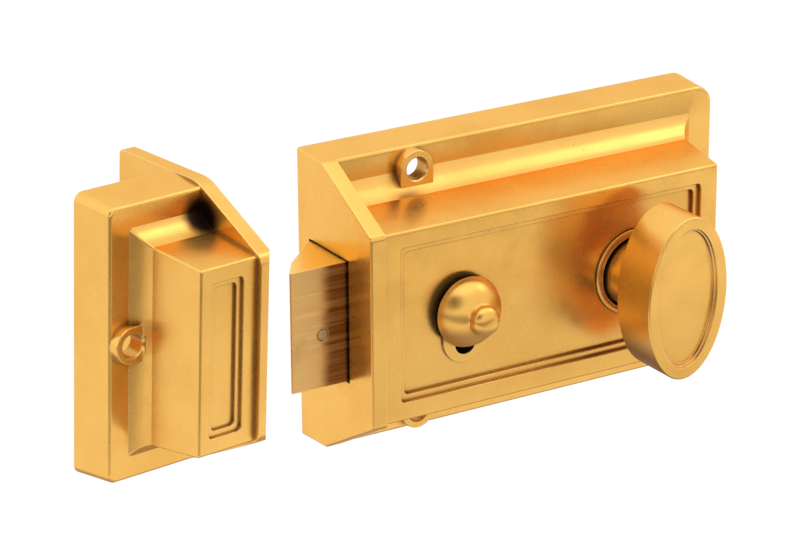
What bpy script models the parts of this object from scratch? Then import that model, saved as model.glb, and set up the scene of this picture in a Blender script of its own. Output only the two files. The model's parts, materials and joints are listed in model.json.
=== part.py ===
"""Rim night latch: lock with a spring bolt, turn knob and snib, and its box strike.

The door face of the lock lies in the plane Y = 0 and the lock stands out of it towards -Y.
X = 0 is the outer face of the lock's left end wall, where the bolt comes out towards -X.
All dimensions below are in millimetres.
"""

import math

import bmesh
import bpy
from mathutils import Matrix, Vector

MM = 0.001

# Lock case
CASE_W = 91.7
CASE_HALF_H = 29.75
FLANGE_Y = -9.13
FLANGE_DRAFT = 0.6
CORNER_R = 5.0
COVE_START = (86.0, 24.3)
RIDGE = (81.7, 20.5)
RIDGE_Y = -13.6
PANEL = (80.3, 19.13)
PANEL_Y = -26.3
# The middle of the panel lies two steps back from its border
FRAME_STEP, FRAME_LEDGE, FRAME_R = 0.9, 1.2, 0.9
FRAME_X, FRAME_Z = (6.9, 76.25), (-15.45, 15.9)
CENTRE_Y = PANEL_Y + 2 * FRAME_STEP
CEILING_Y = -23.0
REAR_CHANNEL_Y = -7.9
EDGE = 0.5
WALL_T = 3.4
CHEEK_Y = -27.0
COVE_ANGLES = (30.2, 69.0)
LUG_X, LUG_Z, LUG_R, LUG_HOLE_R, LUG_Y = 19.8, 25.0, 3.7, 2.25, -11.5
BOLT_GATE_Z, BOLT_GATE_Y = 12.5, (-18.7, -4.06)

# Knob and snib axes
KNOB_X, KNOB_Z = 61.35, 0.0
SNIB_X, SNIB_Z = 22.0, 0.2
SNIB_TRAVEL = 6.5
BOLT_TRAVEL = 12.5
KNOB_LEAN = math.radians(3.4)

# Spring bolt
BOLT_FRONT_Y, BOLT_REAR_Y, BOLT_HALF_H, BOLT_TAIL_X = -18.1, -4.3, 12.2, 8.0
TAIL_Y = (-18.1, -15.7)
DRIVE_PIN = (KNOB_X - 2.27, KNOB_Z + 10.83)

# Strike, in its own frame: X = 0 is the outer face of its right wall, Y = 0 the frame face
STRIKE_W, STRIKE_HALF_H = 25.4, 27.95
STRIKE_FLANGE_Y, STRIKE_PANEL_Y = -9.5, -25.8
STRIKE_LIP_Y = -27.1
STRIKE_WALL = 3.3
STRIKE_STEP, STRIKE_LEDGE = 0.7, 1.13
# The strike turns between its place apart from the lock and its place beside it
STRIKE_AXIS = Vector((0.11445, 0.1722, 0.97839)).normalized()
STRIKE_POLE = Vector((-9.121, -127.54, 23.515))
STRIKE_TURN = math.radians(10.93)
STRIKE_FITTED_X = -1.5


def clear_scene():
    for obj in list(bpy.data.objects):
        bpy.data.objects.remove(obj, do_unlink=True)


def material(name, colour, metallic, roughness):
    mat = bpy.data.materials.new(name)
    mat.use_nodes = True
    shader = mat.node_tree.nodes["Principled BSDF"]
    shader.inputs["Base Color"].default_value = (*colour, 1.0)
    shader.inputs["Metallic"].default_value = metallic
    shader.inputs["Roughness"].default_value = roughness
    mat.diffuse_color = (*colour, 1.0)
    return mat


GOLD = ((0.80, 0.52, 0.20), 0.9, 0.35)
BRASS = ((0.72, 0.50, 0.22), 1.0, 0.30)
STEEL = ((0.55, 0.55, 0.56), 1.0, 0.35)
SPRING_STEEL = ((0.40, 0.40, 0.42), 1.0, 0.30)
ZINC = ((0.62, 0.62, 0.60), 0.9, 0.45)


def build(name, verts, faces, look=STEEL):
    """One mesh object from points in millimetres, with its faces turned out."""
    mesh = bpy.data.meshes.new(name)
    mesh.from_pydata([Vector(v) * MM for v in verts], [], faces)
    bm = bmesh.new()
    bm.from_mesh(mesh)
    bmesh.ops.recalc_face_normals(bm, faces=bm.faces)
    bm.to_mesh(mesh)
    bm.free()
    obj = bpy.data.objects.new(name, mesh)
    bpy.context.scene.collection.objects.link(obj)
    if look is not None:
        obj.data.materials.append(material(name, *look))
    return obj


def loft(name, rings, look=STEEL):
    """Rings of equal length joined in order, with a flat cap at each end."""
    n = len(rings[0])
    verts = [p for ring in rings for p in ring]
    faces = [list(range(n)), list(range(len(verts) - n, len(verts)))]
    for k in range(len(rings) - 1):
        for i in range(n):
            a, b = k * n + i, k * n + (i + 1) % n
            faces.append([a, b, b + n, a + n])
    return build(name, verts, faces, look)


def circle(radius, n=32, start=0.0):
    angles = [start + 2 * math.pi * i / n for i in range(n)]
    return [(radius * math.cos(a), radius * math.sin(a)) for a in angles]


def stadium(x, z_low, z_high, radius, n=10):
    """Upright slot outline with round ends centred on z_low and z_high."""
    points = []
    for i in range(n + 1):
        a = math.pi * i / n
        points.append((x + radius * math.cos(a), z_high + radius * math.sin(a)))
    for i in range(n + 1):
        a = math.pi + math.pi * i / n
        points.append((x + radius * math.cos(a), z_low + radius * math.sin(a)))
    return points


def extrude_y(name, outline, y0, y1, look=STEEL):
    """An outline in (x, z) extruded along Y."""
    return loft(name, [[(x, y, z) for x, z in outline] for y in (y0, y1)], look)


def extrude_x(name, outline, x0, x1, look=STEEL):
    """An outline in (y, z) extruded along X."""
    return loft(name, [[(x, y, z) for y, z in outline] for x in (x0, x1)], look)


def extrude_z(name, outline, z0, z1, look=STEEL):
    """An outline in (x, y) extruded along Z."""
    return loft(name, [[(x, y, z) for x, y in outline] for z in (z0, z1)], look)


def box(name, x, y, z, look=STEEL):
    return extrude_y(name, [(x[0], z[0]), (x[1], z[0]), (x[1], z[1]), (x[0], z[1])], *y, look)


def turned_y(name, x, z, profile, look=STEEL, n=32, start=0.0):
    """A solid of (radius, y) rings about an axis along Y."""
    rings = [[(x + u, y, z + w) for u, w in circle(r, n, start)] for r, y in profile]
    return loft(name, rings, look)


def tube_y(name, x, z, profile, look=STEEL, n=32):
    """A ring-shaped solid about an axis along Y, from a closed (radius, y) profile."""
    rings = [[(x + u, y, z + w) for u, w in circle(r, n)] for r, y in profile]
    verts = [p for ring in rings for p in ring]
    faces = []
    for k in range(len(rings)):
        for i in range(n):
            j, m = (i + 1) % n, (k + 1) % len(rings)
            faces.append([k * n + i, k * n + j, m * n + j, m * n + i])
    return build(name, verts, faces, look)


def coil(name, centre, along, radius, wire, turns, length, look=SPRING_STEEL, per_turn=10, sides=5):
    """A round-wire helix starting at centre and running length along Y or X."""
    steps = int(per_turn * turns)
    rings = []
    for k in range(steps + 1):
        a = 2 * math.pi * turns * k / steps
        axial = wire + (length - 2 * wire) * k / steps
        ring = []
        for i in range(sides):
            b = 2 * math.pi * i / sides
            r, t = radius + wire * math.cos(b), axial + wire * math.sin(b)
            u, w = r * math.cos(a), r * math.sin(a)
            x, y, z = centre
            ring.append((x + t, y + u, z + w) if along == "X" else (x + u, y + t, z + w))
        rings.append(ring)
    return loft(name, rings, look)


def add(obj, operation, helper):
    """Joins helper to obj or cuts it out, and keeps the helper out of the render."""
    helper.hide_render = True
    helper.display_type = "WIRE"
    helper.parent = obj
    step = obj.modifiers.new(helper.name, "BOOLEAN")
    step.operation = operation
    step.object = helper
    step.solver = "EXACT"


def cut(obj, *helpers):
    for helper in helpers:
        add(obj, "DIFFERENCE", helper)


def join(obj, *helpers):
    for helper in helpers:
        add(obj, "UNION", helper)


def plate_outline(left, right, half_h, radius, steps=5):
    """Rectangle with square corners on the left and round ones on the right."""
    points = [(left, half_h), (left, -half_h)]
    for sign in (-1, 1):
        for i in range(steps + 1):
            a = math.pi / 2 * (i / steps if sign > 0 else 1 - i / steps)
            points.append((right - radius + radius * math.cos(a),
                           sign * (half_h - radius + radius * math.sin(a))))
    return points


def cove_sections():
    """(inward, outward) fractions along the concave band between flange and raised box."""
    a0, a1 = (math.radians(a) for a in COVE_ANGLES)
    span_in, span_out = math.sin(a1) - math.sin(a0), math.cos(a0) - math.cos(a1)
    for k in range(6):
        a = a0 + (a1 - a0) * k / 5
        yield (math.sin(a) - math.sin(a0)) / span_in, (math.cos(a0) - math.cos(a)) / span_out


def raised_box(name, left, width, half_h, flange_y, start, ridge, ridge_y, panel, panel_y, corner):
    """Flange, cove and raised panel, open-ended at the left where the end wall closes it."""
    sections = [(1.0, width, half_h, corner), (0.0, width, half_h, corner),
                (flange_y, width - FLANGE_DRAFT, half_h - FLANGE_DRAFT, corner - 0.5)]
    for inward, outward in cove_sections():
        sections.append((flange_y + (ridge_y - flange_y) * outward,
                         start[0] + (ridge[0] - start[0]) * inward,
                         start[1] + (ridge[1] - start[1]) * inward, 0.5))
    sections.append((panel_y + EDGE, panel[0], panel[1], 0.5))
    sections.append((panel_y, panel[0] - EDGE, panel[1] - EDGE, 0.5))
    rings = [[(x, y, z) for x, z in plate_outline(left, w, h, r)] for y, w, h, r in sections]
    return loft(name, rings, GOLD)


def lug(name, x, z, dx, dz):
    """Round-ended raised lug whose straight sides run towards (dx, dz) into the cove."""
    half = [(LUG_R * math.cos(a), LUG_R * math.sin(a))
            for a in (math.pi * i / 12 for i in range(13))]
    reach = 5.5
    outline = half + [(-LUG_R, -reach), (LUG_R, -reach)]
    turn = math.atan2(dx, -dz)
    c, s = math.cos(turn), math.sin(turn)
    placed = [(x + u * c - w * s, z + u * s + w * c) for u, w in outline]
    return extrude_y(name, placed, LUG_Y, -6.0, None)


def rounded(x, z, radius, steps=3):
    """Upright rectangle with round corners."""
    points = []
    for k, (cx, cz) in enumerate(((x[1] - radius, z[1] - radius), (x[0] + radius, z[1] - radius),
                                  (x[0] + radius, z[0] + radius), (x[1] - radius, z[0] + radius))):
        for i in range(steps + 1):
            a = math.pi / 2 * (k + i / steps)
            points.append((cx + radius * math.cos(a), cz + radius * math.sin(a)))
    return points


def stepped_recess(obj, name, x, z, face_y, step, ledge):
    """Sinks the middle of a panel in two steps, with a ledge round it."""
    for k, part in enumerate(("outer", "inner")):
        inset = k * ledge
        outline = rounded((x[0] + inset, x[1] - inset), (z[0] + inset, z[1] - inset), FRAME_R)
        cut(obj, extrude_y(f"{name}_{part}", outline, face_y - 3, face_y + (k + 1) * step, None))


def make_lock_case():
    case = raised_box("lock_case", 1.0, CASE_W, CASE_HALF_H, FLANGE_Y, COVE_START, RIDGE,
                      RIDGE_Y, PANEL, PANEL_Y, CORNER_R)
    wall = [(2, CASE_HALF_H + 0.1), (FLANGE_Y, CASE_HALF_H - FLANGE_DRAFT + 0.1), (CHEEK_Y, 19.3)]
    wall += [(y, -z) for y, z in reversed(wall)]
    join(case, extrude_x("case_end_wall", wall, 0, WALL_T, None))
    for sign, side in ((1, "top"), (-1, "bottom")):
        join(case, lug(f"case_lug_{side}", LUG_X, sign * LUG_Z, 0, -sign))
    channel = [(5.5, 19.6), (81.0, 19.6), (81.0, -19.6), (5.5, -19.6), (5.5, -27.4), (88.5, -27.4),
               (88.5, 27.4), (5.5, 27.4)]
    cut(case,
        box("case_cavity", (WALL_T, 78), (CEILING_Y, 1), (-16.6, 16.6), None),
        extrude_y("case_rear_channel", channel, REAR_CHANNEL_Y, 1, None))
    for sign, side in ((1, "top"), (-1, "bottom")):
        z = (12.7, 17.0) if sign > 0 else (-17.0, -12.7)
        join(case, box(f"case_screw_block_left_{side}", (3.0, 10.3), (-8.6, 0.6), z, None),
             box(f"case_screw_block_right_{side}", (72.5, 78.5), (-8.6, 0.6), z, None))
    cut(case,
        box("case_cover_recess", (3.9, 79.8), (-2.0, 1), (-18.4, 18.4), None),
        box("case_bolt_gate", (-1, WALL_T + 1), BOLT_GATE_Y, (-BOLT_GATE_Z, BOLT_GATE_Z), None))
    join(case, turned_y("case_spring_boss", 15.5, -13.5, [(2.4, -23.6), (2.4, -20.9)], None, 16))
    stepped_recess(case, "case_frame", FRAME_X, FRAME_Z, PANEL_Y, FRAME_STEP, FRAME_LEDGE)
    join(case, extrude_y("case_snib_pad", stadium(SNIB_X, -5.7, 1.4, 4.85), CENTRE_Y - 0.65,
                         CENTRE_Y + 0.8, None))
    cut(case,
        turned_y("case_spring_screw_hole", 15.5, -13.5, [(1.1, -23.1), (1.1, -19.0)], None, 12),
        turned_y("case_knob_hole", KNOB_X, KNOB_Z, [(8.2, -28), (8.2, -22)], None),
        extrude_y("case_snib_slot", stadium(SNIB_X, -6.6, 0.9, 2.3), -28, -22, None))
    for sign, side in ((1, "top"), (-1, "bottom")):
        cut(case, turned_y(f"case_lug_hole_{side}", LUG_X, sign * LUG_Z,
                           [(LUG_HOLE_R, -13), (LUG_HOLE_R, 1)], None, 24))
    for k, (x, z) in enumerate(COVER_SCREWS):
        cut(case, turned_y(f"case_cover_screw_hole_{k}", x, z, [(1.35, -7.5), (1.35, 0)], None, 12))
    cut(case, box("case_door_plane", (-5, 100), (0, 8), (-40, 40), None))
    return case


COVER_SCREWS = [(7.6, 14.9), (7.6, -14.9), (75.2, 14.9), (75.2, -14.9)]


def make_back_cover():
    cover = box("back_cover", (4.1, 79.6), (-1.9, -0.4), (-18.2, 18.2), ZINC)
    for z, side in ((8, "top"), (-8, "bottom")):
        join(cover, box(f"cover_spring_tab_{side}", (38.2, 39.7), (-12.6, -1.2), (z - 3.2, z + 3.2), None))
    cut(cover, turned_y("cover_hub_hole", KNOB_X, KNOB_Z, [(5.0, -3), (5.0, 1)], None))
    for k, (x, z) in enumerate(COVER_SCREWS):
        cut(cover,
            turned_y(f"cover_screw_hole_{k}", x, z, [(1.35, -3), (1.35, 0)], None, 12),
            turned_y(f"cover_countersink_{k}", x, z, [(1.35, -1.7), (2.7, -0.35), (2.7, 0)], None, 12))
        turned_y(f"back_cover_screw_{k + 1}", x, z,
                 [(1.25, -7.2), (1.25, -1.62), (2.5, -0.4)], STEEL, 12)


def make_bolt():
    outline = [(BOLT_TAIL_X, BOLT_REAR_Y), (-0.3, BOLT_REAR_Y), (-5.64, -9.6), (-9.0, -12.84),
               (-11.2, -16.1), (-12.5, -17.8), (-12.4, BOLT_FRONT_Y), (BOLT_TAIL_X, BOLT_FRONT_Y)]
    bolt = extrude_z("latch_bolt", outline, -BOLT_HALF_H, BOLT_HALF_H, BRASS)
    cut(bolt, box("bolt_tail_rebate", (1.2, 9), (-19, TAIL_Y[1] + 0.1), (-9.6, 7.1), None),
        turned_y("bolt_saw_pin_hole", -5.4, -1.5, [(1.2, -19), (1.2, -10.8)], None, 16))
    turned_y("bolt_saw_pin", -5.4, -1.5, [(1.1, -18.05), (1.1, -11)], STEEL, 16)
    tail = [(1.3, -9.5), (40, -9.5), (40, 5.7), (44, 7.8), (63, 7.8), (63, 14.4), (39, 14.4),
            (33, 7), (1.3, 7)]
    plate = extrude_y("bolt_tail", tail, *TAIL_Y, STEEL)
    slot = [(14.7, 0.8), (14.7, -6.0), (18.5, -6.0), (18.5, 0.8), (27.2, 0.8), (27.2, -6.0),
            (31.0, -6.0), (31.0, 4.6), (14.7, 4.6)]
    cut(plate, extrude_y("tail_snib_slot", slot, -19, -15, None),
        turned_y("tail_pin_hole", *DRIVE_PIN, [(1.6, -19), (1.6, -15)], None, 16))
    turned_y("bolt_drive_pin", *DRIVE_PIN, [(1.5, -18.0), (1.5, -11.6)], STEEL, 16)
    for k, z in enumerate((-6.0, 3.5)):
        cut(plate, turned_y(f"tail_rivet_hole_{k}", 4.9, z, [(1.3, -19), (1.3, -15)], None, 12))
        cut(bolt, turned_y(f"bolt_rivet_hole_{k}", 4.9, z, [(1.3, -17), (1.3, -11.5)], None, 12))
        turned_y(f"bolt_tail_rivet_{k + 1}", 4.9, z, [(1.2, -18.0), (1.2, -11.7)], STEEL, 12)
    for k, z in enumerate((8.0, -8.0)):
        hole = [[(x, -9 + u, z + w) for u, w in circle(1.45, 16)] for x in (3.8, 9)]
        cut(bolt, loft(f"bolt_rod_hole_{k}", hole, None))
        rod = [[(x, -9 + u, z + w) for u, w in circle(1.35, 16)] for x in (4.0, 24)]
        loft(f"bolt_spring_rod_{k + 1}", rod, STEEL)
        coil(f"bolt_spring_{k + 1}", (8.2, -9, z), "X", 2.5, 0.45, 9, 29.8)


def oval(long_half, short_half, y, n=48):
    """Ring about the knob axis whose long side leans a little to the right of +Z."""
    points = []
    for i in range(n):
        a = 2 * math.pi * i / n
        u, w = short_half * math.cos(a), long_half * math.sin(a)
        points.append((KNOB_X + u * math.cos(KNOB_LEAN) + w * math.sin(KNOB_LEAN), y,
                       KNOB_Z - u * math.sin(KNOB_LEAN) + w * math.cos(KNOB_LEAN)))
    return points


def square(half, turn=0.0):
    return [(half * math.sqrt(2) * math.cos(a), half * math.sqrt(2) * math.sin(a))
            for a in (turn + math.pi / 4 + math.pi / 2 * i for i in range(4))]


def make_knob():
    sizes = [(6.9, 6.9, -21.2), (6.9, 6.9, -22.2), (6.2, 6.2, -22.2), (6.2, 6.2, -23.1),
             (6.9, 6.9, -23.1), (6.9, 6.9, -32.3), (16.0, 8.7, -32.3), (16.5, 9.2, -32.8),
             (16.5, 9.2, -42.8), (16.15, 8.85, -43.15), (13.9, 6.6, -43.15), (13.7, 6.4, -42.05)]
    knob = loft("turn_knob", [oval(*s) for s in sizes], GOLD)
    cut(knob, spindle_piece("knob_square_hole", 2.6, -34.5, -20, None))
    spindle_piece("knob_spindle", 2.5, -34.2, -9.5, STEEL)
    tube_y("knob_bush", KNOB_X, KNOB_Z, [(8.8, -25.3), (8.8, -24.6), (7.9, -24.6), (7.9, -23.4),
                                         (7.3, -23.4), (7.3, -25.3)], GOLD)
    clip = [(r * math.cos(a), r * math.sin(a)) for r, angles in
            ((8.3, range(-60, 241, 20)), (6.35, range(240, -61, -20)))
            for a in (math.radians(d) for d in angles)]
    extrude_y("knob_retaining_clip", [(KNOB_X + u, KNOB_Z + w) for u, w in clip], -22.95, -22.35,
              SPRING_STEEL)


def spindle_piece(name, half, y0, y1, look):
    return extrude_y(name, [(KNOB_X + u, KNOB_Z + w) for u, w in square(half)], y0, y1, look)


def make_hub():
    hub = turned_y("retractor_hub", KNOB_X, KNOB_Z,
                   [(5.5, -20.8), (5.5, -3.0), (4.9, -3.0), (4.9, -0.6)], ZINC)
    a = math.radians(-30)
    along, across = (math.sin(a), math.cos(a)), (math.cos(a), -math.sin(a))
    arm = [(KNOB_X + along[0] * s + across[0] * t, KNOB_Z + along[1] * s + across[1] * t)
           for s, t in ((3, -1.5), (15, -1.5), (15, 1.5), (3, 1.5))]
    join(hub, extrude_y("hub_arm", arm, -14.9, -11.4, None))
    cut(hub, spindle_piece("hub_square_hole", 2.6, -22, -9.2, None),
        box("hub_tailpiece_slot", (KNOB_X - 4, KNOB_X + 4), (-7.5, 0), (KNOB_Z - 1, KNOB_Z + 1), None))
    tube_y("hub_washer", KNOB_X, KNOB_Z, [(8.2, -2.8), (8.2, -2.1), (5.05, -2.1), (5.05, -2.8)], STEEL)
    coil("hub_return_spring", (KNOB_X, -20.9, KNOB_Z), "Y", 6.5, 0.3, 2, 2.3)


def make_snib():
    rim_y, dome_r, dome_back = -26.2, 7.4, 2.0
    profile = [(3.2, -20.6), (3.2, -21.3), (2.1, -21.3), (2.1, rim_y), (6.8, rim_y), (7.1, rim_y - 0.2)]
    profile += [(math.sqrt(dome_r ** 2 - (out + dome_back) ** 2), rim_y - out)
                for out in (0.6, 1.6, 2.6, 3.6, 4.4, 4.8)]
    profile += [(2.85, -31.3), (3.05, -31.8), (2.95, -32.6), (2.45, -33.4), (1.5, -34.0), (0.3, -34.3)]
    turned_y("snib_button", SNIB_X, SNIB_Z, profile, GOLD)
    plate = box("snib_plate", (13.3, 32.6), (-22.8, -21.4), (-4.2, 7.2), STEEL)
    cut(plate, turned_y("plate_shank_hole", SNIB_X, SNIB_Z, [(2.2, -24), (2.2, -21)], None),
        turned_y("plate_pin_hole", 29.1, 2.7, [(1.6, -24), (1.6, -21)], None, 16))
    turned_y("snib_pin", 29.1, 2.7, [(1.5, -22.7), (1.5, -15.2)], STEEL, 16)
    leaf = [(-20.8, -16), (-20.3, -16), (-20.3, 2.4), (-20.8, 3.0), (-21.3, 1.6), (-20.8, 0.2)]
    spring = extrude_x("snib_detent_spring", leaf, 13.4, 17.4, SPRING_STEEL)
    cut(spring, turned_y("leaf_hole", 15.5, -13.5, [(1.15, -21.5), (1.15, -19.8)], None, 12))
    turned_y("detent_spring_screw", 15.5, -13.5, [(1.0, -22.8), (1.0, -20.2), (2.1, -20.2), (2.1, -19.3)],
             STEEL, 12)


def make_strike():
    w, h = STRIKE_W, STRIKE_HALF_H
    strike = raised_box("strike_casting", 1.0, w, h, STRIKE_FLANGE_Y, (20.0, 22.6), (17.7, 19.6),
                        -13.5, (16.4, 18.3), STRIKE_PANEL_Y, 1.9)
    for vert in strike.data.vertices:
        vert.co.x = -vert.co.x
    strike.data.flip_normals()
    top = h + 0.03
    wall = [(15.0, top), (-6.1, top), (-8.0, top - 0.25), (-9.8, 27.08), (-25.2, 19.05),
            (-26.5, 18.2), (STRIKE_LIP_Y, 17.0)]
    wall += [(y, -z) for y, z in reversed(wall)]
    join(strike, extrude_x("strike_right_wall", wall, -STRIKE_WALL, 0, None),
         lug("strike_lug", -20.6, 0.4, 1, 0))
    bevel = [(-1.9, STRIKE_LIP_Y - 0.5), (0.5, STRIKE_LIP_Y - 0.5), (0.5, STRIKE_LIP_Y + 2.3)]
    cut(strike,
        box("strike_pocket", (-14.2, -STRIKE_WALL), (-22.9, 1), (-15.6, 15.6), None),
        box("strike_rear_hollow", (-23.0, -STRIKE_WALL - 0.2), (REAR_CHANNEL_Y, 1), (-25.4, 25.4), None),
        box("strike_bolt_mouth", (-STRIKE_WALL - 1, 1), (-21.0, -1.6), (-14.6, 14.6), None),
        turned_y("strike_lug_hole", -20.6, 0.4, [(LUG_HOLE_R, -13), (LUG_HOLE_R, 1)], None, 24),
        extrude_z("strike_lip_bevel", bevel, -30, 30, None))
    cut(strike, box("strike_frame_plane", (-40, -STRIKE_WALL), (0, 8), (-40, 40), None))
    for z in (9.5, -9.5):
        hole = [[(x, 8.2 + u, z + v) for u, v in circle(2.1, 24)] for x in (-5, 1)]
        cut(strike, loft(f"strike_edge_hole_{z}", hole, None))
    stepped_recess(strike, "strike_frame", (-14.05, -6.35), (-15.2, 15.3), STRIKE_PANEL_Y,
                   STRIKE_STEP, STRIKE_LEDGE)
    pole = Matrix.Translation(STRIKE_POLE * MM)
    fitted = Matrix.Translation(Vector((STRIKE_FITTED_X, 0, 0)) * MM)
    strike.matrix_world = pole @ Matrix.Rotation(STRIKE_TURN, 4, STRIKE_AXIS) @ pole.inverted() @ fitted
    return strike


def pivot(name, obj_names, x, y, z):
    """An empty on a moving group's axis, with the group hung from it."""
    empty = bpy.data.objects.new(name, None)
    empty.location = Vector((x, y, z)) * MM
    bpy.context.scene.collection.objects.link(empty)
    bpy.context.view_layer.update()
    for child in obj_names:
        obj = bpy.data.objects[child]
        obj.parent = empty
        obj.matrix_parent_inverse = empty.matrix_world.inverted()


def main():
    clear_scene()
    make_lock_case()
    make_back_cover()
    make_bolt()
    make_knob()
    make_hub()
    make_snib()
    make_strike()
    pivot("knob_axis", ["turn_knob", "knob_spindle", "knob_retaining_clip", "retractor_hub"],
          KNOB_X, 0, KNOB_Z)
    pivot("bolt_axis", ["latch_bolt", "bolt_tail", "bolt_saw_pin", "bolt_drive_pin",
                        "bolt_tail_rivet_1", "bolt_tail_rivet_2", "bolt_spring_rod_1",
                        "bolt_spring_rod_2"], 0, -11.2, 0)
    pivot("snib_axis", ["snib_button", "snib_plate", "snib_pin"], SNIB_X, -26.2, SNIB_Z)


main()
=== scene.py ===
"""Looks of the rim night latch: finely edged castings, knob, snib and bolt, their finishes and the studio.

Shapes are in millimetres until they become meshes. The door face is Y = 0, the bolt points to -X.
"""

import json
import math

import bmesh
import bpy
from mathutils import Matrix, Vector


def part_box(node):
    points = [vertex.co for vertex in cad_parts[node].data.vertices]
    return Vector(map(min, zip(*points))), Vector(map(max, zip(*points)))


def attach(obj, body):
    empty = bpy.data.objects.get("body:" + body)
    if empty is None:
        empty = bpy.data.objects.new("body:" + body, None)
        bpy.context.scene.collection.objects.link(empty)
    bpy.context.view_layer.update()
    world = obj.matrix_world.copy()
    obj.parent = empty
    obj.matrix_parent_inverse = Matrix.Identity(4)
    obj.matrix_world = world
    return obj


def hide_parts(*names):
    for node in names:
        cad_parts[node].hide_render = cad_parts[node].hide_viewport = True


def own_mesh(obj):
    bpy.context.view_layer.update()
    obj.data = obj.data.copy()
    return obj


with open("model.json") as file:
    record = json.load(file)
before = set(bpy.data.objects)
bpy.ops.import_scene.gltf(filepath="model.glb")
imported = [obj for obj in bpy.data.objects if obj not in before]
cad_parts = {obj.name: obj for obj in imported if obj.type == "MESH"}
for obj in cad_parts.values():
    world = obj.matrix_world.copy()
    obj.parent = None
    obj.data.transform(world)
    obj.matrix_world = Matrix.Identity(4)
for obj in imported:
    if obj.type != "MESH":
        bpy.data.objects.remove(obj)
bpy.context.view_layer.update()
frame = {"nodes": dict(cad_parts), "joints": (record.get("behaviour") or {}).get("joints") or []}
MM = 0.001

# ---------------------------------------------------------------- sizes taken from the frame


def node_box(name):
    """Lowest and highest corner of a node, in millimetres."""
    low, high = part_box(name)
    return Vector(low) / MM, Vector(high) / MM


BUSH_LOW, BUSH_HIGH = node_box("knob_bush")
SNIB_LOW, SNIB_HIGH = node_box("snib_button")
BOLT_LOW, BOLT_HIGH = node_box("latch_bolt")
CASE_W = node_box("lock_case")[1].x
KNOB_FACE_Y = node_box("turn_knob")[0].y
KNOB_X, KNOB_Z = (BUSH_LOW.x + BUSH_HIGH.x) / 2, (BUSH_LOW.z + BUSH_HIGH.z) / 2
SNIB_X, SNIB_Z = (SNIB_LOW.x + SNIB_HIGH.x) / 2, (SNIB_LOW.z + SNIB_HIGH.z) / 2

# ---------------------------------------------------------------- driving sizes, as in the CAD source

CASE_HALF_H = 29.75
CASE_WALL_T = 3.4
CASE_FRAME_STEP, CASE_FRAME_LEDGE = 0.9, 1.2
PANEL_Y = -26.3
CENTRE_Y = PANEL_Y + 2 * CASE_FRAME_STEP
CEILING_Y = -23.0
REAR_CHANNEL_Y = -7.9
FRAME_R = 0.9
LUG_X, LUG_Z, LUG_R, LUG_HOLE_R, LUG_Y = 19.8, 25.0, 3.7, 2.25, -11.5
STRIKE_W, STRIKE_HALF_H, STRIKE_WALL_T = 25.4, 27.95, 3.3
STRIKE_FRAME_STEP, STRIKE_FRAME_LEDGE = 0.7, 1.13
STRIKE_PANEL_Y, STRIKE_LIP_Y = -25.8, -27.1
STRIKE_LUG_X, STRIKE_LUG_Z = -20.6, 0.4
STRIKE_FITTED_X = -1.5
BOX_LEFT = 1.4
KNOB_LONG_HALF, KNOB_SHORT_HALF, KNOB_REAR_Y, KNOB_LEAN = 16.5, 9.2, -32.3, math.radians(3.4)
SPRING_Y, SPRING_ZS = -9.0, (8.0, -8.0)

# ---------------------------------------------------------------- mesh helpers


def build(name, verts, faces):
    mesh = bpy.data.meshes.new(name)
    mesh.from_pydata([Vector(v) * MM for v in verts], [], faces)
    bm = bmesh.new()
    bm.from_mesh(mesh)
    bmesh.ops.remove_doubles(bm, verts=bm.verts, dist=1e-7)
    bmesh.ops.recalc_face_normals(bm, faces=bm.faces)
    bm.to_mesh(mesh)
    bm.free()
    obj = bpy.data.objects.new(name, mesh)
    bpy.context.scene.collection.objects.link(obj)
    return obj


def loft(name, rings):
    """Rings of equal length joined in order, with a flat cap at each end."""
    n = len(rings[0])
    verts = [p for ring in rings for p in ring]
    faces = [list(range(n)), list(range(len(verts) - n, len(verts)))]
    for k in range(len(rings) - 1):
        for i in range(n):
            a, b = k * n + i, k * n + (i + 1) % n
            faces.append([a, b, b + n, a + n])
    return build(name, verts, faces)


def tube(name, rings):
    """Rings of equal length joined in order, and the last to the first."""
    n = len(rings[0])
    verts = [p for ring in rings for p in ring]
    faces = []
    for k in range(len(rings)):
        for i in range(n):
            a, b = k * n + i, k * n + (i + 1) % n
            c, d = (b + n) % len(verts), (a + n) % len(verts)
            faces.append([a, b, c, d])
    return build(name, verts, faces)


def circle(radius, n=64):
    return [(radius * math.cos(2 * math.pi * i / n), radius * math.sin(2 * math.pi * i / n))
            for i in range(n)]


def turned(name, x, z, profile, n=96, closed=False):
    """(radius, y) profile turned about an axis along Y."""
    rings = [[(x + u, y, z + w) for u, w in circle(r, n)] for r, y in profile]
    return tube(name, rings) if closed else loft(name, rings)


def fillet(points, radii, n=5, closed=False):
    """A 2-D outline whose corners are rounded to the given radii."""
    out = []
    count = len(points)
    for i, (p, r) in enumerate(zip(points, radii)):
        p = Vector(p)
        if r <= 0 or (not closed and i in (0, count - 1)):
            out.append(tuple(p))
            continue
        a = (Vector(points[i - 1]) - p).normalized()
        b = (Vector(points[(i + 1) % count]) - p).normalized()
        half = a.angle(b) / 2
        reach = r / math.tan(half)
        start, end = p + a * reach, p + b * reach
        centre = p + (a + b).normalized() * (r / math.sin(half))
        first, last = start - centre, end - centre
        turn = first.angle_signed(last)
        for k in range(n + 1):
            c, s = math.cos(-turn * k / n), math.sin(-turn * k / n)
            out.append((centre.x + first.x * c - first.y * s, centre.y + first.x * s + first.y * c))
    return out


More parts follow.
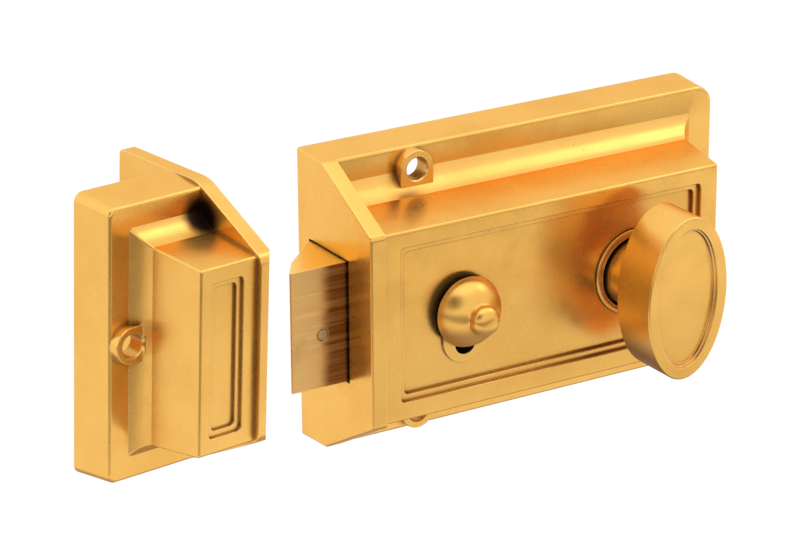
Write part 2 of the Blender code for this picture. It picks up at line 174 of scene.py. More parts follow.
def prism(name, outline, axis, low, high, edge_low=0.0, edge_high=0.0, steps=4):
    """An outline extruded along an axis, with rounded end edges: (y, z) on X, (x, z) on Y, (x, y) on Z."""
    angles = [math.pi / 2 * k / steps for k in range(steps + 1)]
    stations = [(low + edge_low * (1 - math.cos(a)), edge_low * (1 - math.sin(a))) for a in angles]
    stations += [(high - edge_high * (1 - math.cos(a)), edge_high * (1 - math.sin(a)))
                 for a in reversed(angles)]
    if not edge_low:
        stations = stations[steps:]
    if not edge_high:
        stations = stations[:-steps]
    rings = []
    for at, inset in stations:
        rings.append([{"X": (at, u, w), "Y": (u, at, w), "Z": (u, w, at)}[axis]
                      for u, w in shrink(outline, inset)])
    return loft(name, rings)


def shrink(outline, inset):
    """The outline moved inwards by inset along its corners' mean normals."""
    if inset == 0:
        return outline
    count = len(outline)
    area = sum(outline[i][0] * outline[(i + 1) % count][1] - outline[(i + 1) % count][0] * outline[i][1]
               for i in range(count))
    side = 1 if area > 0 else -1
    moved = []
    for i in range(count):
        before, here, after = (Vector(outline[j % count]) for j in (i - 1, i, i + 1))
        a, b = (here - before).normalized(), (after - here).normalized()
        na, nb = Vector((-a.y, a.x)) * side, Vector((-b.y, b.x)) * side
        mean = (na + nb).normalized()
        moved.append(tuple(here + mean * inset / max(0.3, mean.dot(na))))
    return moved


def settle(obj):
    """Turns the object's modifiers into its mesh."""
    graph = bpy.context.evaluated_depsgraph_get()
    mesh = bpy.data.meshes.new_from_object(obj.evaluated_get(graph))
    obj.modifiers.clear()
    obj.data = mesh


def combine(obj, operation, helpers):
    """Joins the helpers to obj or cuts them out of it, then removes them."""
    for helper in helpers:
        step = obj.modifiers.new("step", "BOOLEAN")
        step.operation, step.object, step.solver = operation, helper, "EXACT"
    settle(obj)
    for helper in helpers:
        bpy.data.objects.remove(helper)


def dress(obj, look, body, *nodes, angle=32):
    """Smooth shading, finish, and the place of the piece in the frame."""
    obj.data.shade_smooth()
    obj.data.set_sharp_from_angle(angle=math.radians(angle))
    step = obj.modifiers.new("normals", "WEIGHTED_NORMAL")
    step.keep_sharp = True
    step.weight = 80
    settle(obj)
    obj.data.materials.clear()
    obj.data.materials.append(look)
    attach(obj, body)
    if nodes:
        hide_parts(*nodes)
    return obj


# ---------------------------------------------------------------- castings

COVE_FROM, COVE_TO = math.radians(30.2), math.radians(69.0)
CASE_CORNER_R, STRIKE_CORNER_R = 4.2, 1.9
CUTTER_LIP = 0.6
# Insets from the outline: upright direction, then the sideways direction at the same place
CASE_INSETS = [(0, 0), (0.6, 0.6), (5.45, 5.7), (9.25, 10.0), (10.62, 11.4), (12.6, 13.4)]
STRIKE_INSETS = [(0, 0), (0.85, 0.9), (5.35, 5.4), (8.35, 7.7), (9.65, 9.0), (11.6, 10.9)]


def between(table, t):
    """Straight-line reading of a table of pairs."""
    for (a, fa), (b, fb) in zip(table, table[1:]):
        if t <= b:
            return fa + (fb - fa) * (t - a) / (b - a)
    return table[-1][1]


def cast_profile(insets, flange_y, ridge_y, panel_y):
    """(inset, y) section from the rear edge over flange, cove and ridge to the panel."""
    (t1, _), (t2, _), (t3, _), (t4, _) = insets[1:5]
    points = [(0.0, 1.0), (0.0, 0.0), (t1, flange_y), (t2, flange_y)]
    radii = [0, 0, 0.65, 0.0]
    arc = []
    steps = 10
    s, c = math.sin, math.cos
    for k in range(1, steps):
        a = COVE_FROM + (COVE_TO - COVE_FROM) * k / steps
        arc.append((t2 + (t3 - t2) * (s(a) - s(COVE_FROM)) / (s(COVE_TO) - s(COVE_FROM)),
                    flange_y + (ridge_y - flange_y) * (c(COVE_FROM) - c(a)) / (c(COVE_FROM) - c(COVE_TO))))
    points += arc + [(t3, ridge_y), (t4, panel_y), (insets[5][0], panel_y)]
    radii += [0] * len(arc) + [0.12, 0.55, 0]
    return fillet(points, radii, 5)


def cast_body(name, width, half_h, insets, corner_r, flange_y, ridge_y, panel_y, mirror=False):
    """Casting without its end wall: one ring of its outline for each point of its section."""
    least_r, ridge_r, steps = 0.35, 0.6, 12
    rings = []
    for t, y in cast_profile(insets, flange_y, ridge_y, panel_y):
        w, h = width - between(insets, t), half_h - t
        r = max(least_r, corner_r - t * (corner_r - ridge_r) / insets[2][0])
        ring = [(BOX_LEFT, y, h), (BOX_LEFT, y, -h)]
        for sign in (-1, 1):
            for i in range(steps + 1):
                a = math.pi / 2 * (i / steps if sign > 0 else 1 - i / steps)
                ring.append((w - r + r * math.cos(a), y, sign * (h - r + r * math.sin(a))))
        rings.append([(-x, y, z) for x, y, z in ring] if mirror else ring)
    return loft(name, rings)


def lug(name, x, z, toward, edge=0.22):
    """Round-ended lug whose straight sides run towards an angle into the cove."""
    steps, length, root_y = 24, 5.5, -5.0
    half = [(LUG_R * math.cos(math.pi * i / steps), LUG_R * math.sin(math.pi * i / steps))
            for i in range(steps + 1)]
    outline = half + [(-LUG_R, -length), (LUG_R, -length)]
    c, s = math.cos(toward), math.sin(toward)
    placed = [(x + u * c - w * s, z + u * s + w * c) for u, w in outline]
    return prism(name, placed, "Y", LUG_Y, root_y, edge)


def hole(name, x, z, radius, mouth_y, deep_y, flare=0.25, n=48):
    """Cutter for a round hole with a slightly broken mouth edge."""
    return turned(name, x, z, [(radius + flare + CUTTER_LIP, mouth_y - CUTTER_LIP), (radius + flare, mouth_y),
                               (radius, mouth_y + flare), (radius, deep_y)], n)


def upright_slot(x, z_low, z_high, radius, n=24):
    """Outline of a slot with round ends."""
    ends = ((z_high, 0.0), (z_low, math.pi))
    return [(x + radius * math.cos(a0 + math.pi * i / n), z + radius * math.sin(a0 + math.pi * i / n))
            for z, a0 in ends for i in range(n + 1)]


def rectangle(x0, x1, z0, z1):
    return [(x0, z0), (x1, z0), (x1, z1), (x0, z1)]


def rounded_rectangle(x0, x1, z0, z1, r, n=6):
    return fillet(rectangle(x0, x1, z0, z1), [r] * 4, n, closed=True)


def recess_cutter(name, x, z, inset, mouth_y, floor_y, mouth=0.16):
    """Cutter for a sunk rectangle whose mouth edge is slightly rounded."""
    rings = []
    steps = 4
    stations = [(mouth + CUTTER_LIP, mouth_y - CUTTER_LIP)]
    stations += [(mouth * (1 - math.sin(a)), mouth_y + mouth * (1 - math.cos(a)))
                 for a in (math.pi / 2 * k / steps for k in range(steps + 1))]
    stations.append((0.0, floor_y))
    for out, y in stations:
        outline = rounded_rectangle(x[0] + inset - out, x[1] - inset + out, z[0] + inset - out,
                                    z[1] - inset + out, FRAME_R + out)
        rings.append([(u, y, w) for u, w in outline])
    return loft(name, rings)


def make_lock_case(look):
    flange_y, ridge_y = -9.13, -13.6
    case = cast_body("case_casting", CASE_W, CASE_HALF_H, CASE_INSETS, CASE_CORNER_R, flange_y, ridge_y,
                     PANEL_Y)
    upper = [(2.0, 29.85), (flange_y, 29.2), (-27.0, 19.3)]
    silhouette = upper + [(y, -z) for y, z in reversed(upper)]
    wall = prism("wall", fillet(silhouette, [0, 1.6, 1.3, 1.3, 1.6, 0], 6, closed=True), "X",
                 0.0, CASE_WALL_T, 0.45, 0.12)
    combine(case, "UNION", [wall, lug("lug_a", LUG_X, LUG_Z, 0.0), lug("lug_b", LUG_X, -LUG_Z, math.pi)])
    hollow_case(case)
    frame_x, frame_z = (6.9, 76.25), (-15.45, 15.9)
    for inset, y in ((0.0, PANEL_Y), (CASE_FRAME_LEDGE, PANEL_Y + CASE_FRAME_STEP)):
        combine(case, "DIFFERENCE", [recess_cutter("frame_step", frame_x, frame_z, inset, y,
                                                   y + CASE_FRAME_STEP)])
    pad_height, pad_root = 0.65, 0.8
    combine(case, "UNION", [prism("pad", upright_slot(SNIB_X, -5.7, 1.4, 4.85), "Y", CENTRE_Y - pad_height,
                                  CENTRE_Y + pad_root, 0.14)])
    combine(case, "DIFFERENCE", [
        hole("knob_hole", KNOB_X, KNOB_Z, 8.2, CENTRE_Y, -22, 0.05, 96),
        prism("slot", upright_slot(SNIB_X, -6.6, 0.9, 2.3), "Y", -28, -22),
        hole("lug_hole_a", LUG_X, LUG_Z, LUG_HOLE_R, LUG_Y, 2),
        hole("lug_hole_b", LUG_X, -LUG_Z, LUG_HOLE_R, LUG_Y, 2)])
    dress(case, look, "lock", "lock_case")


def hollow_case(case):
    """Cuts the room for the works and the channel behind the flange, and adds the four screw blocks."""
    inner, outer = 19.6, 27.4
    channel = [(5.5, inner), (81.0, inner), (81.0, -inner), (5.5, -inner), (5.5, -outer), (88.5, -outer),
               (88.5, outer), (5.5, outer)]
    combine(case, "DIFFERENCE", [
        prism("cavity", rectangle(CASE_WALL_T, 78, -16.6, 16.6), "Y", CEILING_Y, 4),
        prism("channel", channel, "Y", REAR_CHANNEL_Y, 4)])
    blocks = []
    for x in ((3.0, 10.3), (72.5, 78.5)):
        for z in ((12.7, 17.0), (-17.0, -12.7)):
            blocks.append(prism("screw_block", rectangle(*x, *z), "Y", -8.6, 0.6, 0.3))
    combine(case, "UNION", blocks)
    combine(case, "DIFFERENCE", [
        prism("cover", rounded_rectangle(3.9, 79.8, -18.4, 18.4, 0.6), "Y", -2.0, 5),
        prism("gate", rectangle(-18.7, -4.06, -12.5, 12.5), "X", -1, CASE_WALL_T + 1),
        prism("door", rectangle(-5, 100, -40, 40), "Y", 0, 9)])


def strike_place():
    """Where the strike rests: turned back by the whole of its joint from its place beside the lock."""
    swing = next(j for j in frame["joints"] if j["name"] == "strike_swing")
    pole = Matrix.Translation(Vector(swing["pos_m"]))
    turn = Matrix.Rotation(-math.radians(swing["range_deg"][1]), 4, Vector(swing["axis"]))
    return pole @ turn @ pole.inverted() @ Matrix.Translation(Vector((STRIKE_FITTED_X * MM, 0, 0)))


def make_strike(look):
    strike = cast_body("strike_box", STRIKE_W, STRIKE_HALF_H, STRIKE_INSETS, STRIKE_CORNER_R, -9.5, -13.5,
                       STRIKE_PANEL_Y, mirror=True)
    wall_top, inner = STRIKE_HALF_H + 0.03, -STRIKE_WALL_T
    upper = [(15.0, wall_top), (-8.08, wall_top), (STRIKE_LIP_Y, 18.06)]
    outline = upper + [(y, -z) for y, z in reversed(upper)]
    radii = [1.0, 8.0, 2.5]
    wall = prism("wall", fillet(outline, radii + radii[::-1], 8, closed=True), "X", inner, 0, 0.15, 0.3)
    combine(strike, "UNION", [wall, lug("lug", STRIKE_LUG_X, STRIKE_LUG_Z, math.pi / 2)])
    bevel = [(-1.9, STRIKE_LIP_Y - 0.5), (0.5, STRIKE_LIP_Y - 0.5), (0.5, STRIKE_LIP_Y + 2.3)]
    combine(strike, "DIFFERENCE", [
        prism("pocket", rectangle(-14.2, inner, -15.6, 15.6), "Y", -22.9, 4),
        prism("mouth", rectangle(-21.0, -1.6, -14.6, 14.6), "X", inner - 1, 1),
        prism("bevel", bevel, "Z", -30, 30)])
    combine(strike, "DIFFERENCE", [
        prism("hollow", rectangle(-23.0, inner - 0.2, -25.4, 25.4), "Y", REAR_CHANNEL_Y, 4),
        prism("frame_cut", rectangle(-40, inner, -40, 40), "Y", 0, 8)])
    edge_holes = []
    for z in (9.5, -9.5):
        rings = [[(x, 8.2 + u, z + v) for u, v in circle(2.1, 48)] for x in (-5, 1)]
        edge_holes.append(loft("edge_hole", rings))
    combine(strike, "DIFFERENCE",
            edge_holes + [hole("lug_hole", STRIKE_LUG_X, STRIKE_LUG_Z, LUG_HOLE_R, LUG_Y, 2)])
    frame_x, frame_z = (-14.05, -6.35), (-15.2, 15.3)
    for inset, y in ((0.0, STRIKE_PANEL_Y), (STRIKE_FRAME_LEDGE, STRIKE_PANEL_Y + STRIKE_FRAME_STEP)):
        combine(strike, "DIFFERENCE", [recess_cutter("frame_step", frame_x, frame_z, inset, y,
                                                     y + STRIKE_FRAME_STEP)])
    strike.data.transform(strike_place())
    dress(strike, look, "strike", "strike_casting")


# ---------------------------------------------------------------- knob, bush, snib, bolt


def oval(long_half, short_half, y, n=128):
    """Ring of the knob at y, leaning a little to the right at its top."""
    points = []
    for i in range(n):
        a = 2 * math.pi * i / n
        u, w = short_half * math.cos(a), long_half * math.sin(a)
        points.append((KNOB_X + u * math.cos(KNOB_LEAN) + w * math.sin(KNOB_LEAN), y,
                       KNOB_Z - u * math.sin(KNOB_LEAN) + w * math.cos(KNOB_LEAN)))
    return points


def make_knob(look):
    step_y, recess_y = KNOB_FACE_Y + 0.5, KNOB_FACE_Y + 1.1
    section = [(0.9, KNOB_REAR_Y), (0.0, KNOB_REAR_Y), (0.0, KNOB_FACE_Y), (2.35, KNOB_FACE_Y), (2.4, step_y),
               (2.75, step_y), (2.85, recess_y), (5.5, recess_y)]
    rounded = fillet(section, [0, 0.55, 0.35, 0.14, 0.1, 0.12, 0.2, 0], 5)
    neck_r, groove_r = 6.9, 6.2
    neck = [(neck_r, -21.2), (neck_r, -22.2), (groove_r, -22.2), (groove_r, -23.1), (neck_r, -23.1),
            (neck_r, KNOB_REAR_Y)]
    rings = [oval(r, r, y) for r, y in neck]
    rings += [oval(KNOB_LONG_HALF - t, KNOB_SHORT_HALF - t, y) for t, y in rounded]
    dress(loft("knob_body", rings), look, "knob", "turn_knob")


def make_bush(look):
    """Closed ring: (radius, y) round its rim, its front groove and its bore."""
    section = [(8.8, -24.6), (8.8, -25.05), (8.35, -25.3), (8.0, -25.3), (7.9, -25.15), (7.8, -25.25),
               (7.5, -25.25), (7.3, -25.1), (7.3, -23.4), (7.9, -23.4), (7.9, -24.6)]
    dress(turned("bush_ring", KNOB_X, KNOB_Z, section, 128, closed=True), look, "lock", "knob_bush")


def make_snib(look):
    """Stem and disc, a dome cut from a sphere, a waist and a round nub, from the rear to the tip."""
    rim_y, tip_y, dome_r, dome_back = -26.2, SNIB_LOW.y, 7.4, 2.0
    dome_start, dome_height, dome_steps = 0.4, 4.2, 12
    profile = [(3.2, -20.6), (3.2, -21.3), (2.1, -21.3), (2.1, rim_y), (6.8, rim_y), (7.04, rim_y - 0.1),
               (7.08, rim_y - 0.25)]
    for k in range(dome_steps + 1):
        out = dome_start + dome_height * k / dome_steps
        profile.append((math.sqrt(dome_r ** 2 - (out + dome_back) ** 2), rim_y - out))
    profile += [(3.1, -30.95), (2.9, -31.1), (2.86, -31.3), (2.93, -31.55)]
    nub_r, nub_y, nub_steps = 3.03, -31.85, 14
    for k in range(nub_steps + 1):
        a = math.pi / 2 * k / nub_steps
        profile.append((max(0.02, nub_r * math.cos(a) ** 0.86),
                        nub_y + (tip_y - nub_y) * math.sin(a) ** 0.94))
    dress(turned("snib_knob", SNIB_X, SNIB_Z, profile, 96), look, "snib", "snib_button", angle=50)


def make_bolt(look):
    rear_x, rear_y, front_y = BOLT_HIGH.x, BOLT_HIGH.y, BOLT_LOW.y
    outline = [(rear_x, rear_y), (-0.3, rear_y), (-5.64, -9.6), (-9.0, -12.84), (-11.2, -16.1),
               (-12.5, front_y), (rear_x, front_y)]
    radii = [0, 3.0, 6.0, 6.0, 4.0, 0.25, 0]
    edge = 0.2
    bolt = prism("bolt_block", fillet(outline, radii, 6, closed=True), "Z", BOLT_LOW.z, BOLT_HIGH.z,
                 edge, edge)
    rods = []
    for z in SPRING_ZS:
        rings = [[(x, SPRING_Y + u, z + w) for u, w in circle(1.45, 24)] for x in (3.8, 9)]
        rods.append(loft("rod_hole", rings))
    combine(bolt, "DIFFERENCE", rods + [
        prism("rebate", rectangle(1.2, 9, -9.6, 7.1), "Y", -19, -15.6),
        hole("saw_pin_hole", -5.4, -1.5, 1.2, front_y, -10.8, 0.06)])
    holes = [hole("rivet_hole", 4.9, z, 1.3, -17, -11.5, 0.0, 24) for z in (-6.0, 3.5)]
    combine(bolt, "DIFFERENCE", holes)
    dress(bolt, look, "bolt", "latch_bolt")


def make_bolt_springs(look):
    """The two coils that throw the bolt, at one length; the real ones shorten as it draws in."""
    start, length, travel = 8.2, 29.8, 12.5
    radius, wire, turns, steps, sides = 2.5, 0.45, 9, 14, 8
    for k, z in enumerate(SPRING_ZS):
        rings = []
        for i in range(turns * steps + 1):
            a = 2 * math.pi * i / steps
            x = start + wire + (length - 2 * wire) * i / (turns * steps)
            ring = []
            for b in (2 * math.pi * side / sides for side in range(sides)):
                r = radius + wire * math.cos(b)
                ring.append((x + wire * math.sin(b), SPRING_Y + r * math.cos(a), z + r * math.sin(a)))
            rings.append(ring)
        coil = dress(loft(f"bolt_coil_{k + 1}", rings), look, "lock", f"bolt_spring_{k + 1}", angle=60)
        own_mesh(coil)


# ---------------------------------------------------------------- finishes


class Graph:
    """Small helper for making shader nodes."""

    def __init__(self, name):
        self.material = bpy.data.materials.new(name)
        self.material.use_nodes = True
        self.tree = self.material.node_tree
        self.shader = self.tree.nodes["Principled BSDF"]
        self.place = self.new("ShaderNodeTexCoord").outputs["Object"]

    def new(self, kind, **settings):
        node = self.tree.nodes.new(kind)
        for key, value in settings.items():
            setattr(node, key, value)
        return node

    def link(self, a, b):
        self.tree.links.new(a, b)

    def noise(self, scale, detail=3.0, stretch=(1, 1, 1), roughness=0.55):
        mapping = self.new("ShaderNodeMapping")
        mapping.inputs["Scale"].default_value = stretch
        self.link(self.place, mapping.inputs["Vector"])
        node = self.new("ShaderNodeTexNoise")
        node.inputs["Scale"].default_value = scale
        node.inputs["Detail"].default_value = detail
        node.inputs["Roughness"].default_value = roughness
        self.link(mapping.outputs["Vector"], node.inputs["Vector"])
        return node.outputs["Fac"]

    def remap(self, value, a, b, c, d):
        node = self.new("ShaderNodeMapRange", interpolation_type="SMOOTHSTEP")
        for key, number in (("From Min", a), ("From Max", b), ("To Min", c), ("To Max", d)):
            node.inputs[key].default_value = number
        self.link(value, node.inputs["Value"])
        return node.outputs["Result"]

    def math(self, operation, a, b):
        node = self.new("ShaderNodeMath", operation=operation)
        for socket, value in zip(node.inputs, (a, b)):
            if isinstance(value, (int, float)):
                socket.default_value = value
            else:
                self.link(value, socket)
        return node.outputs["Value"]

    def split(self, vector):
        """X, Y and Z of a vector, as named outputs."""
        node = self.new("ShaderNodeSeparateXYZ")
        self.link(vector, node.inputs["Vector"])
        return node.outputs

    def facing(self):
        return self.new("ShaderNodeNewGeometry").outputs["Normal"]

    def mix(self, factor, a, b):
        node = self.new("ShaderNodeMix", data_type="RGBA")
        for socket, value in ((node.inputs["Factor"], factor), (node.inputs["A"], a), (node.inputs["B"], b)):
            if isinstance(value, (int, float)):
                socket.default_value = value
            elif isinstance(value, tuple):
                socket.default_value = (*value, 1.0)
            else:
                self.link(value, socket)
        return node.outputs["Result"]

    def bevel(self, radius):
        node = self.new("ShaderNodeBevel", samples=6)
        node.inputs["Radius"].default_value = radius
        return node.outputs["Normal"]

    def edges(self, radius):
        """1 on the outward and inward edges, 0 on flat ground."""
        dot = self.new("ShaderNodeVectorMath", operation="DOT_PRODUCT")
        self.link(self.bevel(radius), dot.inputs[0])
        self.link(self.facing(), dot.inputs[1])
        return self.remap(dot.outputs["Value"], 0.995, 0.90, 0.0, 1.0)

    def crevice(self, distance, low, high):
        """1 in hollows within reach of distance, 0 in the open."""
        node = self.new("ShaderNodeAmbientOcclusion", samples=8)
        node.inputs["Distance"].default_value = distance
        return self.remap(node.outputs["AO"], low, high, 1.0, 0.0)

    def bump(self, height, strength, distance, normal=None):
        node = self.new("ShaderNodeBump")
        node.inputs["Strength"].default_value = strength
        node.inputs["Distance"].default_value = distance
        self.link(height, node.inputs["Height"])
        if normal is not None:
            self.link(normal, node.inputs["Normal"])
        self.link(node.outputs["Normal"], self.shader.inputs["Normal"])

    def put(self, name, value):
        """Sets one of the shader's inputs to a number, or links a node's output to it."""
        socket = self.shader.inputs[name]
        if isinstance(value, (int, float)):
            socket.default_value = value
        else:
            self.link(value, socket)


LIGHT_GOLD, DEEP_GOLD, EDGE_HIGHLIGHT_GOLD = (0.95, 0.535, 0.122), (0.89, 0.475, 0.095), (1.0, 0.76, 0.36)
SOFT_HOLLOW_SHADE, DEEP_HOLLOW_SHADE, BLACK_SHADE = (0.17, 0.075, 0.016), (0.025, 0.010, 0.003), (0.02, 0.007, 0.003)
SPECK_BROWN, UNDERSIDE_SHADE = (0.30, 0.12, 0.03), (0.17, 0.065, 0.018)
GRAZING_GOLD = (0.95, 0.72, 0.42, 1)


def gold_finish(name, rough=(0.22, 0.30), underside_shade=0.6, edge_highlight_width=0.0004, soft_shade_strength=0.7, spot=None):
    """Satin gold lacquer on a zinc casting, rubbed along X.

    underside_shade is how much shade is painted on the faces that point down, edge_highlight_width is the
    width of the painted highlight along the edges, soft_shade_strength is the strength of the shade painted
    into the wider hollows, and spot is the middle of a painted black reflection.
    """
    g = Graph(name)
    colour = g.mix(g.remap(g.noise(55, 3), 0.35, 0.68, 0.0, 1.0), LIGHT_GOLD, DEEP_GOLD)
    # Painted highlight along the edges.
    colour = g.mix(g.math("MULTIPLY", g.edges(edge_highlight_width), 0.7), colour, EDGE_HIGHLIGHT_GOLD)
    # Painted shade in the hollows: brown in the wider ones, near black in the tight ones.
    colour = g.mix(g.math("MULTIPLY", g.crevice(0.008, 0.15, 0.66), soft_shade_strength), colour, SOFT_HOLLOW_SHADE)
    colour = g.mix(g.math("MULTIPLY", g.crevice(0.0026, 0.28, 0.82), 0.95), colour, DEEP_HOLLOW_SHADE)
    # A black reflection painted round spot.
    if spot is not None:
        away = g.new("ShaderNodeVectorMath", operation="DISTANCE")
        g.link(g.place, away.inputs[0])
        away.inputs[1].default_value = spot
        colour = g.mix(g.remap(away.outputs["Value"], 0.0024, 0.0052, 0.98, 0.0), colour, BLACK_SHADE)
    colour = g.mix(g.remap(g.noise(900, 1.0), 0.79, 0.82, 0.0, 0.5), colour, SPECK_BROWN)
    # Painted shade on the faces that point down; they are also made less metallic, rougher and without coat.
    underside_shade_mask = g.remap(g.split(g.facing())["Z"], -0.05, -0.50, 0.0, underside_shade)
    g.put("Base Color", g.mix(underside_shade_mask, colour, UNDERSIDE_SHADE))
    g.put("Metallic", g.remap(underside_shade_mask, 0.0, 1.0, 0.90, 0.3))
    g.put("Roughness", g.math("ADD", g.remap(g.noise(140, 4), 0.3, 0.7, *rough),
                              g.math("MULTIPLY", underside_shade_mask, 0.45)))
    rub = g.new("ShaderNodeCombineXYZ")
    rub.inputs["X"].default_value = 1.0
    g.link(rub.outputs["Vector"], g.shader.inputs["Tangent"])
    g.put("Anisotropic", 0.55)
    g.shader.inputs["Specular Tint"].default_value = GRAZING_GOLD
    g.put("Coat Weight", g.remap(underside_shade_mask, 0.0, 1.0, 0.3, 0.0))
    g.put("Coat Roughness", 0.35)
    g.bump(g.noise(900, 3, (0.3, 1, 1)), 0.05, 0.0001, g.bevel(0.00022))
    return g.material


BRASS, TARNISH_AND_SHADE, BRASS_LINES = (0.84, 0.50, 0.17), (0.24, 0.105, 0.04), (0.86, 0.55, 0.22)
BRASS_EDGE_HIGHLIGHT, BRASS_TOP_HIGHLIGHT = (0.92, 0.62, 0.28), (1.0, 0.68, 0.17)


def bolt_finish():
    """Brass with fine lines along its travel, random tarnish, painted shade towards the case and painted
    highlights on edges and top.
    """
    g = Graph("brushed_bolt")
    g.put("Metallic", 1.0)
    lines = g.noise(1400, 2, (0.012, 1, 1), 0.7)
    patches = g.noise(190, 4, (0.6, 1, 1))
    # Painted shade towards the case, added to random patches of tarnish.
    shade_towards_case = g.remap(g.split(g.place)["X"], -0.008, -0.001, 0.0, 0.9)
    tarnish_and_shade_mask = g.remap(g.math("ADD", g.math("MULTIPLY", patches, 0.9), shade_towards_case), 0.45, 1.15, 0.0, 1.0)
    colour = g.mix(tarnish_and_shade_mask, BRASS, TARNISH_AND_SHADE)
    colour = g.mix(g.remap(lines, 0.35, 0.7, 0.0, 0.28), colour, BRASS_LINES)
    # Painted highlight along the edges.
    colour = g.mix(g.math("MULTIPLY", g.edges(0.00035), 0.6), colour, BRASS_EDGE_HIGHLIGHT)
    # Painted highlight on the faces that point up.
    colour = g.mix(g.remap(g.split(g.facing())["Z"], 0.6, 0.95, 0.0, 1.0), colour, BRASS_TOP_HIGHLIGHT)
    g.put("Base Color", colour)
    g.put("Roughness", g.remap(lines, 0.3, 0.7, 0.26, 0.46))
    g.bump(lines, 0.22, 0.00006, g.bevel(0.0002))
    return g.material


STEEL_HOLLOW_SHADE = (0.05, 0.04, 0.035)


def metal_finish(name, light, deep, rough):
    """Plain machined or plated metal with faint handling marks and painted shade in its hollows."""
    g = Graph(name)
    g.put("Metallic", 1.0)
    colour = g.mix(g.remap(g.noise(220, 4), 0.35, 0.7, 0.0, 1.0), light, deep)
    # Painted shade in the hollows.
    colour = g.mix(g.math("MULTIPLY", g.crevice(0.0015, 0.25, 0.75), 0.6), colour, STEEL_HOLLOW_SHADE)
    g.put("Base Color", colour)
    g.put("Roughness", g.remap(g.noise(500, 3), 0.3, 0.7, *rough))
    g.bump(g.noise(1500, 2), 0.08, 0.00008, g.bevel(0.0001))
    return g.material


def spring_finish(name):
    return metal_finish(name, (0.30, 0.30, 0.32), (0.18, 0.18, 0.20), (0.22, 0.34))


def dress_carried_nodes():
    """Finishes for the nodes that keep their own shape."""
    steel = metal_finish("plain_steel", (0.56, 0.56, 0.57), (0.40, 0.40, 0.42), (0.25, 0.42))
    plated = metal_finish("zinc_plate", (0.66, 0.66, 0.62), (0.50, 0.52, 0.50), (0.34, 0.5))
    spring = spring_finish("spring_steel")
    pin = metal_finish("hard_pin", (0.55, 0.40, 0.22), (0.40, 0.27, 0.13), (0.3, 0.42))
    looks = {"back_cover": plated, "retractor_hub": plated, "bolt_saw_pin": pin,
             "hub_return_spring": spring, "snib_detent_spring": spring, "knob_retaining_clip": spring}
    for name, obj in frame["nodes"].items():
        if obj.hide_render:
            continue
        obj.data.materials.clear()
        obj.data.materials.append(looks.get(name, steel))


# ---------------------------------------------------------------- studio


FLOOR_Z, FLOOR_HALF = -130, 6000


def make_floor():
    """White floor with a painted grey band of shade before the lock and painted dark shade on the ground
    beyond it, both out of sight.
    """
    g = Graph("studio_floor")
    across = g.new("ShaderNodeVectorMath", operation="DOT_PRODUCT")
    across.inputs[1].default_value = (-0.45, -0.89, 0)
    g.link(g.place, across.inputs[0])
    y = g.split(g.place)["Y"]
    # Painted shade: a grey band before the lock, white again past it, and dark ground further out.
    floor_shade = g.mix(g.remap(y, -0.21, -0.27, 0.0, 1.0), (0.90, 0.90, 0.90), (0.48, 0.48, 0.48))
    floor_shade = g.mix(g.remap(y, -0.275, -0.315, 0.0, 1.0), floor_shade, (0.99, 0.99, 0.99))
    floor_shade = g.mix(g.remap(across.outputs["Value"], 0.21, 0.34, 0.0, 1.0), floor_shade, (0.24, 0.22, 0.20))
    g.put("Base Color", floor_shade)
    g.put("Roughness", 0.8)
    corners = rectangle(-FLOOR_HALF, FLOOR_HALF, -FLOOR_HALF, FLOOR_HALF)
    floor = build("studio_floor", [(x, y, FLOOR_Z) for x, y in corners], [[0, 1, 2, 3]])
    floor.data.materials.append(g.material)


def add_softbox(place, aim, size, watts):
    lamp = bpy.data.lights.new("right_softbox", "AREA")
    lamp.shape, lamp.size, lamp.size_y = "RECTANGLE", size[0], size[1]
    lamp.energy = watts
    obj = bpy.data.objects.new("right_softbox", lamp)
    obj.location = place
    obj.rotation_euler = (Vector(aim) - Vector(place)).to_track_quat("-Z", "Y").to_euler()
    bpy.context.scene.collection.objects.link(obj)


def add_ceiling(strength, spread):
    lamp = bpy.data.lights.new("ceiling", "SUN")
    lamp.energy, lamp.angle = strength, spread
    bpy.context.scene.collection.objects.link(bpy.data.objects.new("ceiling", lamp))


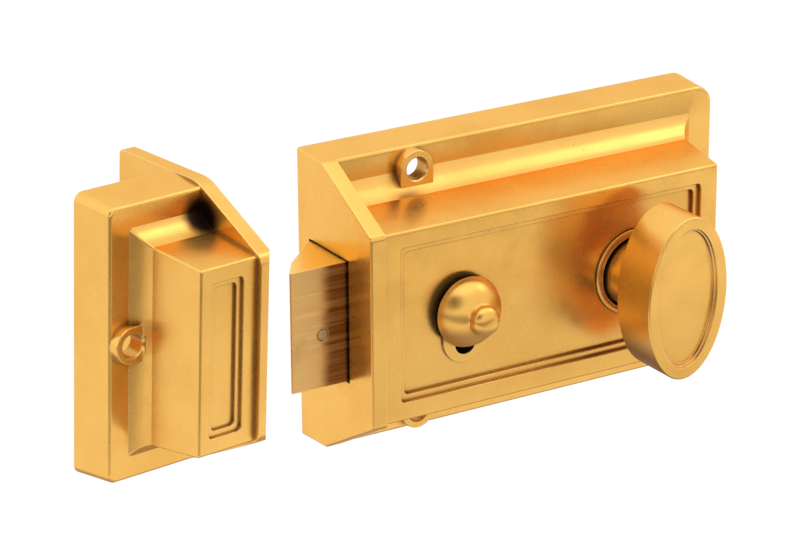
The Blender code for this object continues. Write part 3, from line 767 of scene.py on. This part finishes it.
def make_lights():
    """A white tent, a little brighter above and on the left, with one dark patch at its upper left."""
    add_softbox((0.7, -0.07, 0.68), (0.03, 0, 0), (0.42, 0.36), 0.75)
    add_ceiling(0.4, math.radians(60))
    world = bpy.data.worlds.new("studio")
    world.use_nodes = True
    tree = world.node_tree
    place = tree.nodes.new("ShaderNodeTexCoord").outputs["Generated"]

    def towards(direction, start, end, low, high):
        """low away from a direction and high towards it, between two cosines."""
        dot = tree.nodes.new("ShaderNodeVectorMath")
        dot.operation = "DOT_PRODUCT"
        dot.inputs[1].default_value = Vector(direction).normalized()
        tree.links.new(place, dot.inputs[0])
        ramp = tree.nodes.new("ShaderNodeMapRange")
        ramp.interpolation_type = "SMOOTHSTEP"
        for key, number in (("From Min", start), ("From Max", end), ("To Min", low), ("To Max", high)):
            ramp.inputs[key].default_value = number
        tree.links.new(dot.outputs["Value"], ramp.inputs["Value"])
        return ramp.outputs["Result"]

    def both(operation, a, b):
        node = tree.nodes.new("ShaderNodeMath")
        node.operation = operation
        tree.links.new(a, node.inputs[0])
        tree.links.new(b, node.inputs[1])
        return node.outputs["Value"]

    level = both("ADD", towards((-1, 0, 0), 0.0, 0.9, 0.96, 1.16), towards((0, 0, 1), 0.2, 0.9, 0.0, 0.08))
    level = both("MULTIPLY", level, towards((-0.72, -0.38, 0.56), 0.89, 0.97, 1.0, 0.05))
    tree.nodes["Background"].inputs["Color"].default_value = (1, 1, 1, 1)
    tree.links.new(level, tree.nodes["Background"].inputs["Strength"])
    bpy.context.scene.world = world
    bpy.context.scene.view_settings.view_transform = "Standard"


def make_camera():
    """Long-lens view from the left of the front and a little above."""
    azimuth, elevation, roll = math.radians(-31.42), math.radians(20.81), math.radians(-0.384)
    target, distance = Vector((13.62, -15.0, 4.92)) * MM, 0.6532
    toward = Vector((math.sin(azimuth) * math.cos(elevation), -math.cos(azimuth) * math.cos(elevation),
                     math.sin(elevation)))
    data = bpy.data.cameras.new("camera")
    data.lens, data.sensor_width, data.sensor_fit = 153.5, 36.0, "HORIZONTAL"
    data.clip_start, data.clip_end = 0.02, 50
    camera = bpy.data.objects.new("camera", data)
    turn = (-toward).to_track_quat("-Z", "Y").to_matrix().to_4x4() @ Matrix.Rotation(roll, 4, "Z")
    camera.matrix_world = Matrix.Translation(target + toward * distance) @ turn
    bpy.context.scene.collection.objects.link(camera)
    bpy.context.scene.camera = camera


# Middle of the black reflection painted in the strike's cove corner, in the strike's own frame.
COVE_SHADE = (-3.8, -10.4, 21.6)


def main():
    gold = gold_finish("satin_gold", soft_shade_strength=0.85)
    make_lock_case(gold)
    cove_shade = strike_place() @ (Vector(COVE_SHADE) * MM)
    make_strike(gold_finish("strike_gold", soft_shade_strength=0.45, spot=cove_shade))
    make_knob(gold_finish("knob_gold", underside_shade=0.92))
    make_bush(gold)
    make_bolt_springs(spring_finish("coil_steel"))
    make_snib(gold_finish("snib_gold", rough=(0.28, 0.34), edge_highlight_width=0.0009))
    make_bolt(bolt_finish())
    dress_carried_nodes()
    make_floor()
    make_lights()
    make_camera()


main()
